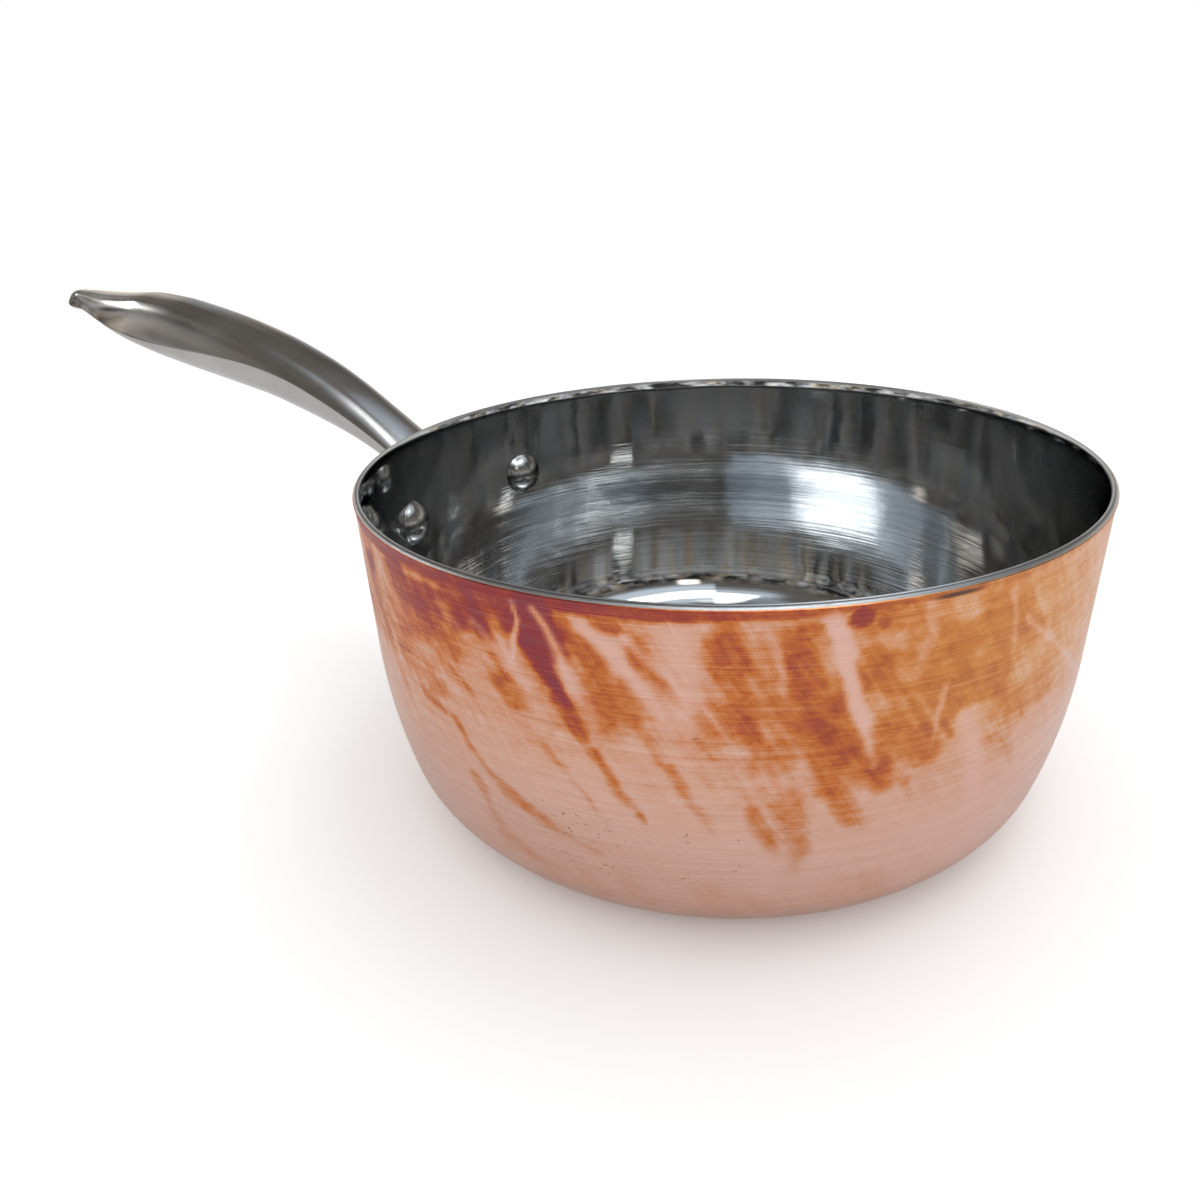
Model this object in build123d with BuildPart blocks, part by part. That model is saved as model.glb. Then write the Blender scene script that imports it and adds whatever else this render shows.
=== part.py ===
from build123d import *
import math
import os

# Saucepan, 18 cm size. Millimetres. +Z up, origin at the centre of the base's
# underside, on the bowl's axis. The handle runs out along +X.

# ---- driving dimensions -----------------------------------------------------
rim_r = 90.0            # inner edge of the rim
rim_z = 85.3            # height of that edge above the base's underside
lip_r = 91.4            # outer edge of the rim's sloping cut
lip_drop = 0.9          # how far that outer edge lies below the inner one
lip_h = 3.6             # height of the slight pouring flare
wall_top_r = 91.1       # outer radius of the wall just under the flare
wall_lean = 89.38       # degrees from level of the upper wall
belly_r = 132.9         # radius of the gentle curve below it
belly_end = 76.0        # degrees from level where the tight corner starts
corner_r = 21.7         # radius of the corner into the flat base
t_copper = 0.3          # outer copper skin
t_core = 1.0            # aluminium core
t_steel = 0.4           # stainless lining

rivet_z = 60.4          # height of both rivets
rivet_az = 17.2         # degrees each side of the handle
rivet_head_r = 6.6
rivet_head_h = 4.2
rivet_shank_r = 2.6
rivet_tail_r = 4.4
rivet_tail_h = 1.5

flange_t = 3.0          # thickness of the handle's wing plate
flange_w = 72.0         # its span, tip to tip
flange_h = 21.0         # its height at the middle

# ---- bowl profile -----------------------------------------------------------
sp, cp = math.sin(math.radians(belly_end)), math.cos(math.radians(belly_end))
s0, c0 = math.sin(math.radians(wall_lean)), math.cos(math.radians(wall_lean))
top_r, top_z = wall_top_r, rim_z - lip_h
knee_z = belly_r * (cp - c0) + corner_r * (1 - cp)   # where the straight wall ends
knee_r = top_r - (top_z - knee_z) * c0 / s0
belly_cr = knee_r - belly_r * s0
belly_cz = knee_z + belly_r * c0
low_r = belly_cr + belly_r * sp
low_z = belly_cz - belly_r * cp
corner_cr = low_r - corner_r * sp
corner_cz = corner_r
wall_t = t_copper + t_core + t_steel


def profile(d):
    """Points of the bowl's profile, offset inwards by d: base centre to flare."""
    f = d / wall_t
    p = {}
    p["axis"] = (0, d)
    p["foot"] = (corner_cr, d)
    a = math.radians(belly_end / 2)
    p["corner_mid"] = (corner_cr + (corner_r - d) * math.sin(a),
                       corner_cz - (corner_r - d) * math.cos(a))
    p["low"] = (corner_cr + (corner_r - d) * sp,
                corner_cz - (corner_r - d) * cp)
    a = math.radians((belly_end + wall_lean) / 2)
    p["belly_mid"] = (belly_cr + (belly_r - d) * math.sin(a),
                      belly_cz - (belly_r - d) * math.cos(a))
    p["knee"] = (belly_cr + (belly_r - d) * s0, belly_cz - (belly_r - d) * c0)
    p["neck"] = (top_r - d / s0, top_z)
    p["edge"] = (lip_r + (rim_r - lip_r) * f, rim_z - lip_drop * (1 - f))
    return p


def shell(outer, inner):
    """Closed outline between two offsets of the profile."""
    a, b = profile(outer), profile(inner)
    Line(a["axis"], a["foot"])
    ThreePointArc(a["foot"], a["corner_mid"], a["low"])
    ThreePointArc(a["low"], a["belly_mid"], a["knee"])
    Line(a["knee"], a["neck"])
    TangentArc(a["neck"], a["edge"], tangent=(0, 1))
    Line(a["edge"], b["edge"])
    TangentArc(b["neck"], b["edge"], tangent=(0, 1))
    Line(b["neck"], b["knee"])
    ThreePointArc(b["knee"], b["belly_mid"], b["low"])
    ThreePointArc(b["low"], b["corner_mid"], b["foot"])
    Line(b["foot"], b["axis"])
    Line(b["axis"], a["axis"])


def rivet_plane(side):
    """Plane on the bowl's axis at rivet height, its normal running out through the rivet."""
    a = math.radians(side * rivet_az)
    return Plane(origin=(0, 0, rivet_z), x_dir=(0, 0, 1), z_dir=(math.cos(a), math.sin(a), 0))


print("flat base radius", round(corner_cr, 2), "straight wall", round(top_z - knee_z, 2))

# ---- copper skin ------------------------------------------------------------
with BuildPart() as copper_shell:
    with BuildSketch(Plane.XZ):
        with BuildLine():
            shell(0.0, t_copper)
        make_face()
    revolve(axis=Axis.Z)
    for side in (-1, 1):
        with BuildSketch(rivet_plane(side)):
            Circle(rivet_shank_r)
        extrude(amount=110, mode=Mode.SUBTRACT)

# ---- aluminium core ---------------------------------------------------------
with BuildPart() as aluminium_core:
    with BuildSketch(Plane.XZ):
        with BuildLine():
            shell(t_copper, t_copper + t_core)
        make_face()
    revolve(axis=Axis.Z)
    for side in (-1, 1):
        with BuildSketch(rivet_plane(side)):
            Circle(rivet_shank_r)
        extrude(amount=110, mode=Mode.SUBTRACT)

# ---- stainless lining -------------------------------------------------------
with BuildPart() as steel_lining:
    with BuildSketch(Plane.XZ):
        with BuildLine():
            shell(t_copper + t_core, wall_t)
        make_face()
    revolve(axis=Axis.Z)
    for side in (-1, 1):
        with BuildSketch(rivet_plane(side)):
            Circle(rivet_shank_r)
        extrude(amount=110, mode=Mode.SUBTRACT)


def filled(d):
    """Outline of everything inside the profile offset by d, for trimming against the wall."""
    a = profile(d)
    Line(a["axis"], a["foot"])
    ThreePointArc(a["foot"], a["corner_mid"], a["low"])
    ThreePointArc(a["low"], a["belly_mid"], a["knee"])
    Line(a["knee"], a["neck"])
    TangentArc(a["neck"], a["edge"], tangent=(0, 1))
    Line(a["edge"], (0, a["edge"][1]))
    Line((0, a["edge"][1]), a["axis"])


with BuildPart() as bowl_outside:
    with BuildSketch(Plane.XZ):
        with BuildLine():
            filled(0.0)
        make_face()
    revolve(axis=Axis.Z)

with BuildPart() as bowl_inside:
    with BuildSketch(Plane.XZ):
        with BuildLine():
            filled(wall_t)
        make_face()
    revolve(axis=Axis.Z)

# ---- handle -----------------------------------------------------------------
# Cast in one piece: a wing plate that follows the wall, a neck that climbs past
# the rim, a broad crowned grip and a small rounded nose.
# station: distance from the axis, height of the widest line, half width,
# crown above that line, belly below it
stations = [
    (89.0, 55.5, 14.0, 4.6, 6.4),
    (94.5, 62.6, 11.6, 3.6, 6.0),
    (101.5, 69.2, 10.0, 3.4, 6.0),
    (110.5, 75.2, 9.7, 3.8, 7.0),
    (121.3, 81.2, 9.9, 4.5, 8.2),
    (136.4, 88.7, 10.8, 5.5, 10.6),
    (152.1, 94.8, 11.7, 6.4, 12.2),
    (169.7, 98.9, 12.9, 8.3, 12.0),
    (187.4, 100.8, 13.8, 11.0, 10.6),
    (203.0, 102.0, 14.3, 12.9, 8.8),
    (218.2, 103.3, 14.4, 14.0, 6.9),
    (233.4, 105.2, 14.0, 13.5, 4.9),
    (244.6, 107.1, 13.0, 11.6, 3.2),
    (254.9, 109.4, 11.4, 9.1, 1.9),
    (264.7, 111.4, 9.2, 7.0, 1.3),
    (273.5, 112.8, 7.0, 5.8, 1.2),
    (280.4, 113.7, 5.6, 5.1, 1.2),
    (285.2, 114.0, 4.1, 4.0, 1.3),
    (287.8, 114.2, 2.2, 2.9, 1.3),
]
crown_power = 3.0


def section(w, c, b):
    """Closed outline: crowned top and rounded belly meeting in a soft edge each side."""
    n = 8
    top = []
    for i in range(n + 1):
        u = math.cos(math.pi * i / n)
        top.append((w * u, c * (1 - abs(u) ** crown_power)))
    bot = []
    for i in range(n + 1):
        a = math.pi * i / n
        bot.append((w * math.cos(a), -b * math.sin(a) ** 0.85 if 0 < i < n else 0))
    Spline(*top)
    Spline(*bot)


with BuildPart() as wall_jacket:
    with BuildSketch(Plane.XZ):
        with BuildLine():
            shell(-flange_t, wall_t)
        make_face()
    revolve(axis=Axis.Z)

with BuildPart() as handle_wing:
    with BuildSketch(Plane.YZ.offset(70)):
        with Locations((0, rivet_z)):
            Ellipse(flange_w / 2, flange_h / 2)
    extrude(amount=40)
    add(wall_jacket.part, mode=Mode.INTERSECT)
    add(bowl_outside.part, mode=Mode.SUBTRACT)

with BuildPart() as handle:
    for i, (r, z, w, c, b) in enumerate(stations):
        lo, hi = stations[max(i - 1, 0)], stations[min(i + 1, len(stations) - 1)]
        run, rise = hi[0] - lo[0], hi[1] - lo[1]
        with BuildSketch(Plane(origin=(r, 0, z), x_dir=(0, 1, 0), z_dir=(run, 0, rise))):
            with BuildLine():
                section(w, c, b)
            make_face()
    loft()
    add(handle_wing.part)
    add(bowl_outside.part, mode=Mode.SUBTRACT)
    for side in (-1, 1):
        with BuildSketch(rivet_plane(side)):
            Circle(rivet_shank_r)
        extrude(amount=110, mode=Mode.SUBTRACT)


# ---- rivets -----------------------------------------------------------------
def rivet_section_plane(side):
    """Plane through one rivet's axis: x runs outwards along it, y is up."""
    a = math.radians(side * rivet_az)
    return Plane(origin=(0, 0, rivet_z), x_dir=(math.cos(a), math.sin(a), 0),
                 z_dir=(math.sin(a), -math.cos(a), 0))


def rivet_axis(side):
    a = math.radians(side * rivet_az)
    return Axis(origin=(0, 0, rivet_z), direction=(math.cos(a), math.sin(a), 0))


inner_r = top_r - wall_t          # wall's inner and outer faces at the rivets
outer_r = top_r + flange_t


def rivet_head():
    """Half outline of the domed inner head, with stock to trim at the wall."""
    a = (inner_r - rivet_head_h, 0)
    r = (rivet_head_r ** 2 + rivet_head_h ** 2) / (2 * rivet_head_h)
    half = math.asin(rivet_head_r / r)
    mid = (inner_r - rivet_head_h + r - r * math.cos(half / 2), r * math.sin(half / 2))
    b = (inner_r, rivet_head_r)
    ThreePointArc(a, mid, b)
    Line(b, (inner_r + 0.9, rivet_head_r))
    Line((inner_r + 0.9, rivet_head_r), (inner_r + 0.9, 0))
    Line((inner_r + 0.9, 0), a)


def rivet_tail():
    """Half outline of the low outer tail, with stock to trim at the wing plate."""
    a = (outer_r + rivet_tail_h, 0)
    r = (rivet_tail_r ** 2 + rivet_tail_h ** 2) / (2 * rivet_tail_h)
    half = math.asin(rivet_tail_r / r)
    mid = (outer_r + rivet_tail_h - r + r * math.cos(half / 2), r * math.sin(half / 2))
    b = (outer_r, rivet_tail_r)
    ThreePointArc(a, mid, b)
    Line(b, (outer_r - 0.7, rivet_tail_r))
    Line((outer_r - 0.7, rivet_tail_r), (outer_r - 0.7, 0))
    Line((outer_r - 0.7, 0), a)


os.makedirs("parts", exist_ok=True)
for name, side in (("rivet_left", 1), ("rivet_right", -1)):
    with BuildPart() as rivet:
        with BuildSketch(rivet_section_plane(side)):
            with BuildLine():
                rivet_head()
            make_face()
        revolve(axis=rivet_axis(side))
        with BuildSketch(rivet_section_plane(side)):
            with BuildLine():
                rivet_tail()
            make_face()
        revolve(axis=rivet_axis(side))
        add(wall_jacket.part, mode=Mode.SUBTRACT)
        with BuildSketch(rivet_plane(side).offset(inner_r - 1.5)):
            Circle(rivet_shank_r)
        extrude(amount=flange_t + wall_t + 2.0)
    rivet.part.label = name
    export_step(rivet.part, "parts/" + name + ".step")

# ---- write ------------------------------------------------------------------
copper_shell.part.label = "copper_shell"
export_step(copper_shell.part, "parts/copper_shell.step")
aluminium_core.part.label = "aluminium_core"
export_step(aluminium_core.part, "parts/aluminium_core.step")
steel_lining.part.label = "steel_lining"
export_step(steel_lining.part, "parts/steel_lining.step")
handle.part.label = "handle"
export_step(handle.part, "parts/handle.step")
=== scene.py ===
import math
import random
import bpy
import bmesh
import numpy as np
from mathutils import Matrix, Vector


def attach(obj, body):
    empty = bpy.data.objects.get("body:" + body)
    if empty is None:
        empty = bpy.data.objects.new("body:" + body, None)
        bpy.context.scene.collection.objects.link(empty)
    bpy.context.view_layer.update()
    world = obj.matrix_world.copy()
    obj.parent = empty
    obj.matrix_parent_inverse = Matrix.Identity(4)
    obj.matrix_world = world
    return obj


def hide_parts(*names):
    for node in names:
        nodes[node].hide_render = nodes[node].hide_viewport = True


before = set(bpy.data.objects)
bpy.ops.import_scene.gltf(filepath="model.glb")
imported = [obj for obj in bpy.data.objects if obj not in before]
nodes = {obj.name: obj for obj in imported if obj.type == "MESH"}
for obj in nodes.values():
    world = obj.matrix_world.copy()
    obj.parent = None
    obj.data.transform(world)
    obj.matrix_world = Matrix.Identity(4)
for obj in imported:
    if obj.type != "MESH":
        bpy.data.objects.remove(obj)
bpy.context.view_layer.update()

MM = 0.001
for node in nodes.values():
    for poly in node.data.polygons:
        poly.use_smooth = True

# =====================================================================  camera
RIM = 90.0 * MM
CAM_D, CAM_H = 2.5050 * RIM, 0.7270 * RIM
YAW, PITCH, ROLL = math.radians(-8.07), math.radians(25.41), math.radians(-2.84)
HANDLE_AZ = math.radians(153.92)
fwd = Vector((math.sin(YAW) * math.cos(PITCH), math.cos(YAW) * math.cos(PITCH), -math.sin(PITCH)))
right = Vector((math.cos(YAW), -math.sin(YAW), 0.0))
up = right.cross(fwd)
cr, sr = math.cos(ROLL), math.sin(ROLL)
right, up = cr * right + sr * up, -sr * right + cr * up
VIEW_TURN = Matrix.Rotation(-HANDLE_AZ, 4, "Z")      # viewing frame to row frame
pose = Matrix((
    (right.x, up.x, -fwd.x, 0.0),
    (right.y, up.y, -fwd.y, -CAM_D),
    (right.z, up.z, -fwd.z, CAM_H),
    (0, 0, 0, 1)))
cam_data = bpy.data.cameras.new("camera")
cam = bpy.data.objects.new("camera", cam_data)
bpy.context.scene.collection.objects.link(cam)
cam.matrix_world = Matrix.Translation((0, 0, 85.3 * MM)) @ VIEW_TURN @ pose
cam_data.sensor_width = 36.0
cam_data.lens = 36.0 * 893.2 / 1200.0
cam_data.clip_start = 0.01
cam_data.clip_end = 50.0
bpy.context.scene.camera = cam


# =====================================================================  profile
rim_r, rim_z, lip_r, lip_drop, lip_h = 90.0, 85.3, 91.4, 0.9, 3.6
wall_top_r, wall_lean, belly_r, belly_end, corner_r = 91.1, 89.38, 132.9, 76.0, 21.7
t_copper, t_core, t_steel = 0.3, 1.0, 0.4
wall_t = t_copper + t_core + t_steel
sp, cp = math.sin(math.radians(belly_end)), math.cos(math.radians(belly_end))
s0, c0 = math.sin(math.radians(wall_lean)), math.cos(math.radians(wall_lean))
top_z = rim_z - lip_h
knee_z = belly_r * (cp - c0) + corner_r * (1 - cp)
knee_r = wall_top_r - (top_z - knee_z) * c0 / s0
belly_cr, belly_cz = knee_r - belly_r * s0, knee_z + belly_r * c0
low_r = belly_cr + belly_r * sp
corner_cr = low_r - corner_r * sp


def profile(d, step=0.7, base_step=4.0):
    """Points (r, z) of the bowl's profile offset inwards by d, base centre to rim, in mm."""
    pts = []
    n = max(3, int(corner_cr / base_step))
    for i in range(n):
        pts.append((corner_cr * i / n, d))
    rc = corner_r - d
    n = max(6, int(rc * math.radians(belly_end) / step))
    for i in range(n):
        a = math.radians(belly_end) * i / n
        pts.append((corner_cr + rc * math.sin(a), corner_r - rc * math.cos(a)))
    rb = belly_r - d
    a0, a1 = math.radians(belly_end), math.radians(wall_lean)
    n = max(6, int(rb * (a1 - a0) / step))
    for i in range(n):
        a = a0 + (a1 - a0) * i / n
        pts.append((belly_cr + rb * math.sin(a), belly_cz - rb * math.cos(a)))
    kr, kz = belly_cr + rb * s0, belly_cz - rb * c0
    nr = wall_top_r - d / s0
    n = max(4, int((top_z - kz) / step))
    for i in range(n):
        pts.append((kr + (nr - kr) * i / n, kz + (top_z - kz) * i / n))
    f = d / wall_t
    er, ez = lip_r + (rim_r - lip_r) * f, rim_z - lip_drop * (1 - f)
    n = max(6, int(lip_h / 0.4))
    for i in range(n + 1):
        t = i / n
        pts.append((nr + (er - nr) * t * t, top_z + (ez - top_z) * t))
    return pts


def wall_radius(z, d):
    """Radius of the wall offset inwards by d at height z, on the straight part."""
    return wall_top_r - d / s0 - (top_z - z) * c0 / s0


def new_object(name, verts, faces, smooth=True, sharp=None):
    me = bpy.data.meshes.new(name)
    me.from_pydata([tuple(v) for v in verts], [], faces)
    me.validate()
    me.update()
    ob = bpy.data.objects.new(name, me)
    bpy.context.scene.collection.objects.link(ob)
    if smooth:
        me.polygons.foreach_set("use_smooth", [True] * len(me.polygons))
    if sharp:
        me.set_sharp_from_angle(angle=math.radians(sharp))
    return ob


def revolve(name, prof, segs, sharp=None, angles=None):
    """A closed solid turned from prof, a loop of (r, z) in mm whose first and last points are on the axis."""
    if angles is None:
        angles = [2 * math.pi * k / segs for k in range(segs)]
    segs = len(angles)
    verts, faces, rings = [], [], []
    for r, z in prof:
        if r < 1e-6:
            rings.append([len(verts)])
            verts.append((0, 0, z * MM))
        else:
            rings.append(list(range(len(verts), len(verts) + segs)))
            for t in angles:
                verts.append((r * MM * math.cos(t), r * MM * math.sin(t), z * MM))
    for a, b in zip(rings, rings[1:]):
        for k in range(segs):
            j = (k + 1) % segs
            if len(a) == 1 and len(b) == 1:
                continue
            if len(a) == 1:
                faces.append((a[0], b[j], b[k]))
            elif len(b) == 1:
                faces.append((a[k], a[j], b[0]))
            else:
                faces.append((a[k], a[j], b[j], b[k]))
    ob = new_object(name, verts, faces, sharp=sharp)
    arc, total = [], 0.0
    for i, ring_ids in enumerate(rings):
        if i:
            total += math.hypot(prof[i][0] - prof[i - 1][0], prof[i][1] - prof[i - 1][1])
        arc.extend([total] * len(ring_ids))
    attr = ob.data.attributes.new("arc", "FLOAT", "POINT")
    attr.data.foreach_set("value", arc)
    return ob


# =====================================================================  bowl layers
RIM_CUT = (rim_r - lip_r, lip_drop)       # from the outer lip corner to the inner one


def cut_point(d):
    f = d / wall_t
    return (lip_r + RIM_CUT[0] * f, rim_z - lip_drop * (1 - f))


def rounded_corner(p, a, b, r, n=4):
    """Replaces corner p between directions to a and b by a small arc."""
    pa = Vector((a[0] - p[0], a[1] - p[1])).normalized()
    pb = Vector((b[0] - p[0], b[1] - p[1])).normalized()
    half = math.acos(max(-1, min(1, pa.dot(pb)))) / 2
    d = r / math.tan(half)
    s, e = Vector(p) + pa * d, Vector(p) + pb * d
    c = Vector(p) + (pa + pb).normalized() * (r / math.sin(half))
    va, vb = s - c, e - c
    ang = math.acos(max(-1, min(1, va.normalized().dot(vb.normalized()))))
    sign = 1 if va.x * vb.y - va.y * vb.x > 0 else -1
    out = []
    for i in range(n + 1):
        t = sign * ang * i / n
        out.append((c.x + va.x * math.cos(t) - va.y * math.sin(t), c.y + va.x * math.sin(t) + va.y * math.cos(t)))
    return out


# copper: outer face fine, for the painted tarnish; its hidden inner face coarse
outer = profile(0.0, step=0.74, base_step=3.6)
edge = outer[-1]
outer = outer[:-2] + rounded_corner(edge, outer[-3], cut_point(t_copper), 0.12, 3)
inner = profile(t_copper, step=8.0, base_step=22.0)
fine = np.radians(np.arange(46.0, 187.0, 0.42))
coarse = np.linspace(fine[-1], fine[0] + 2 * math.pi, 182)[1:-1]
copper = revolve("copper_skin", outer + inner[::-1], 0, sharp=50, angles=list(fine) + list(coarse))
core_out = profile(t_copper, step=3.0, base_step=16.0)
core_in = profile(t_copper + t_core, step=3.0, base_step=16.0)
cut_out, cut_in = core_out[-1], core_in[-1]
cut_n = (lip_drop / math.hypot(*RIM_CUT), -RIM_CUT[0] / math.hypot(*RIM_CUT))
for i in range(1, 8):
    t = i / 8
    core_out.append((cut_out[0] + (cut_in[0] - cut_out[0]) * t + cut_n[0] * 0.10 * math.sin(math.pi * t),
                     cut_out[1] + (cut_in[1] - cut_out[1]) * t + cut_n[1] * 0.10 * math.sin(math.pi * t)))
core = revolve("rim_core", core_out + core_in[::-1], 384, sharp=50)
lin_out = profile(t_copper + t_core, step=4.0, base_step=16.0)
lin_in = profile(wall_t, step=0.8, base_step=2.4)
edge = lin_in[-1]
lin_in = lin_in[:-2] + rounded_corner(edge, lin_in[-3], cut_point(t_copper + t_core), 0.16, 3)
lining = revolve("mirror_lining", lin_out + lin_in[::-1], 448, sharp=50)


# =====================================================================  rivets
def rivet(name, side):
    """Head, shank and tail in one closed turned piece, whose faces follow the wall."""
    az = math.radians(side * 17.2)
    zc = 60.4
    head_r, head_h, tail_r, tail_h, shank_r, plate_t = 6.6, 4.2, 4.4, 1.5, 2.6, 3.0
    rows = []                                        # (radius, height off the surface, which surface)
    big = (head_r ** 2 + head_h ** 2) / (2 * head_h)
    half = math.asin(head_r / big)
    n = 22
    for i in range(n + 1):
        a = half * i / n
        rows.append((big * math.sin(a), head_h - big * (1 - math.cos(a)), "in"))
    rows[-1] = (head_r - 0.04, 0.22, "in")
    rows.append((head_r, 0.10, "in"))
    rows.append((head_r - 0.05, 0.0, "in"))
    rows.append((shank_r, 0.0, "in"))
    rows.append((shank_r, 0.0, "out"))
    rows.append((tail_r - 0.05, 0.0, "out"))
    rows.append((tail_r, 0.12, "out"))
    big = (tail_r ** 2 + tail_h ** 2) / (2 * tail_h)
    half = math.asin(tail_r / big)
    for i in range(1, 11):
        a = half * (1 - i / 10)
        rows.append((big * math.sin(a), tail_h - big * (1 - math.cos(a)), "out"))
    segs = 64
    ex = Vector((math.cos(az), math.sin(az), 0))
    ey = Vector((-math.sin(az), math.cos(az), 0))
    verts, faces, rings = [], [], []
    for r, h, where in rows:
        count = 1 if r < 1e-6 else segs
        rings.append(list(range(len(verts), len(verts) + count)))
        for k in range(count):
            t = 2 * math.pi * k / segs
            y, z = r * math.cos(t), r * math.sin(t)
            if where == "in":
                R = wall_radius(zc + z, wall_t)
                x = math.sqrt(R * R - y * y) - h
            else:
                R = wall_radius(zc + z, 0) + plate_t
                x = math.sqrt(R * R - y * y) + h
            p = ex * x + ey * y + Vector((0, 0, zc + z))
            verts.append(p * MM)
    for a, b in zip(rings, rings[1:]):
        for k in range(segs):
            j = (k + 1) % segs
            if len(a) == 1:
                faces.append((a[0], b[k], b[j]))
            elif len(b) == 1:
                faces.append((a[k], b[0], a[j]))
            else:
                faces.append((a[k], b[k], b[j], a[j]))
    ob = new_object(name, verts, faces, sharp=40)
    return ob


rivet_l = rivet("dome_rivet_left", 1)
rivet_r = rivet("dome_rivet_right", -1)


# =====================================================================  handle
STATIONS = np.array([
    (101.5, 69.2, 10.0, 3.4, 6.0),
    (110.5, 75.2, 9.7, 3.8, 7.0),
    (121.3, 81.2, 9.9, 4.5, 8.2),
    (136.4, 88.7, 10.8, 5.5, 10.6),
    (152.1, 94.8, 11.7, 6.4, 12.2),
    (169.7, 98.9, 12.9, 8.3, 12.0),
    (187.4, 100.8, 13.8, 11.0, 10.6),
    (203.0, 102.0, 14.3, 12.9, 8.8),
    (218.2, 103.3, 14.4, 14.0, 6.9),
    (233.4, 105.2, 14.0, 13.5, 4.9),
    (244.6, 107.1, 13.0, 11.6, 3.2),
    (254.9, 109.4, 11.4, 9.1, 1.9),
    (264.7, 111.4, 9.2, 7.0, 1.3),
    (273.5, 112.8, 7.0, 5.8, 1.2),
    (279.0, 113.2, 6.2, 5.4, 2.0),
])


def pchip(x, y, t):
    """Monotone cubic interpolation."""
    h = np.diff(x)
    m = np.diff(y) / h
    d = np.zeros_like(y)
    for i in range(1, len(x) - 1):
        if m[i - 1] * m[i] > 0:
            w1, w2 = 2 * h[i] + h[i - 1], h[i] + 2 * h[i - 1]
            d[i] = (w1 + w2) / (w1 / m[i - 1] + w2 / m[i])
    d[0], d[-1] = m[0], m[-1]
    k = np.clip(np.searchsorted(x, t) - 1, 0, len(h) - 1)
    s = (t - x[k]) / h[k]
    return (y[k] * (1 + 2 * s) * (1 - s) ** 2 + d[k] * h[k] * s * (1 - s) ** 2
            + y[k + 1] * s * s * (3 - 2 * s) + d[k + 1] * h[k] * s * s * (s - 1))


def smooth_series(x, passes):
    for _ in range(passes):
        x = np.concatenate([x[:1], (x[:-2] + 2 * x[1:-1] + x[2:]) / 4, x[-1:]])
    return x


N_RING = 72                                # points around a section
half_n = N_RING // 2


def ring(w, c, b, crown=3.0, edge_soft=0.16):
    """Section points (side, height): near edge, over the crown, far edge, back under the belly."""
    t = np.linspace(0, np.pi, half_n + 1)
    u = np.cos(t)
    top = np.stack([w * u, c * (1 - np.abs(u) ** crown)], 1)
    bot = np.stack([w * u, -b * np.sin(t) ** 0.85], 1)
    loop = np.concatenate([top, bot[-2:0:-1]])
    # soften the corner at each edge
    for _ in range(2):
        q = (np.roll(loop, 1, 0) + np.roll(loop, -1, 0)) / 2
        k = np.zeros(len(loop))
        k[[0, half_n]] = 1.0
        k[[1, len(loop) - 1, half_n - 1, half_n + 1]] = 0.6
        loop = loop + (q - loop) * (k * edge_soft * 2)[:, None]
    return loop


chord = np.concatenate([[0], np.cumsum(np.hypot(np.diff(STATIONS[:, 0]), np.diff(STATIONS[:, 1])))])
ts = np.linspace(0, chord[-1], 170)
spine = np.stack([smooth_series(pchip(chord, STATIONS[:, i], ts), 10) for i in range(5)], 1)
tan = np.gradient(spine[:, :2], axis=0)
tan /= np.linalg.norm(tan, axis=1)[:, None]
rings3 = []
for (r, z, w, c, b), (tx, tz) in zip(spine, tan):
    loop = ring(w, c, b)
    rings3.append(np.stack([r - tz * loop[:, 1], loop[:, 0], z + tx * loop[:, 1]], 1))
# rounded nose
r_end, z_end, w_end, c_end, b_end = spine[-1]
tx, tz = tan[-1]
nose = 8.6
for a in np.linspace(0, np.pi / 2, 16)[1:]:
    k = math.cos(a) ** 0.66 if a < np.pi / 2 - 1e-6 else 0.0
    k = max(k, 0.02)
    adv = nose * math.sin(a)
    loop = ring(w_end * k, c_end * k, b_end * k, crown=3.0 - 0.8 * math.sin(a))
    lift = 0.9 * math.sin(a) ** 2
    cx, cz = r_end + tx * adv, z_end + tz * adv + lift
    rings3.append(np.stack([cx - tz * loop[:, 1], loop[:, 0], cz + tx * loop[:, 1]], 1))

# root: from the neck's first ring, a blend down on to the wing plate
PLATE_T, WING_W, WING_H, RIV_Z = 3.0, 36.0, 10.5, 60.4
neck = rings3[0]
t0 = np.array([tan[0][0], 0.0, tan[0][1]])
ang = np.arctan2(neck[:, 2] - neck[:, 2].mean(), neck[:, 1])


def plate_point(y, z, lift):
    """A point off the wall by lift, on the wing plate, from arc distance y and height z."""
    R = wall_radius(z, 0) + lift
    a = y / 94.1
    return np.array([R * math.cos(a), R * math.sin(a), z])


foot = []
mid_z = 62.2
for k in range(N_RING):
    y = neck[k, 1] * 1.42
    z = mid_z + (neck[k, 2] - neck[:, 2].mean()) * (0.95 if neck[k, 2] > neck[:, 2].mean() else 1.15)
    foot.append((y, z))
foot = np.array(foot)
wing = []
for k in range(N_RING):
    dy, dz = foot[k, 0], foot[k, 1] - RIV_Z
    p = 2.25
    s = (abs(dy / WING_W) ** p + abs(dz / WING_H) ** p) ** (1 / p)
    wing.append((dy / s, RIV_Z + dz / s))
wing = np.array(wing)
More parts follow.
